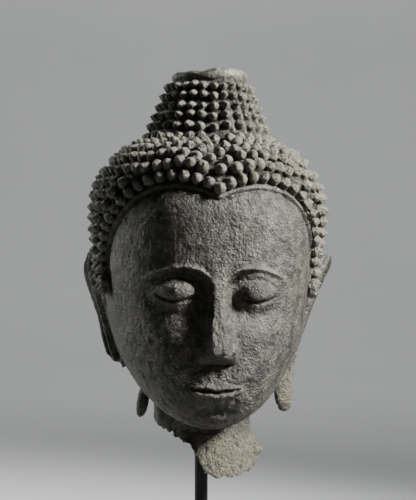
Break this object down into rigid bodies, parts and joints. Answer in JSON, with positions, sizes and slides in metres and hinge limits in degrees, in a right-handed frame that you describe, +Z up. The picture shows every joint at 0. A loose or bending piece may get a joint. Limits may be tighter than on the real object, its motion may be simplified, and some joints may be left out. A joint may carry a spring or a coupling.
{
  "type": "bronze buddha head",
  "caption": "Hollow-cast bronze head with small pointed curls, a cranial bump and a broken neck, held up by a black rod on a low block foot.",
  "frame": {"origin": "middle of the foot's underside, on the rod's axis", "axes": "+Z up along the rod, and the face looks along -Y, turned 6 degrees towards +X"},
  "size_m": [0.2575, 0.2701, 0.5011],
  "materials": {
    "bronze": "corroded dark bronze, rough, with pale grey mineral crust",
    "black_steel": "satin black",
    "black_wood": "matt black paint"
  },
  "bodies": {
    "root": {"head": "bronze", "rod": "black_steel", "foot": "black_wood"}
  },
  "joints": []
}
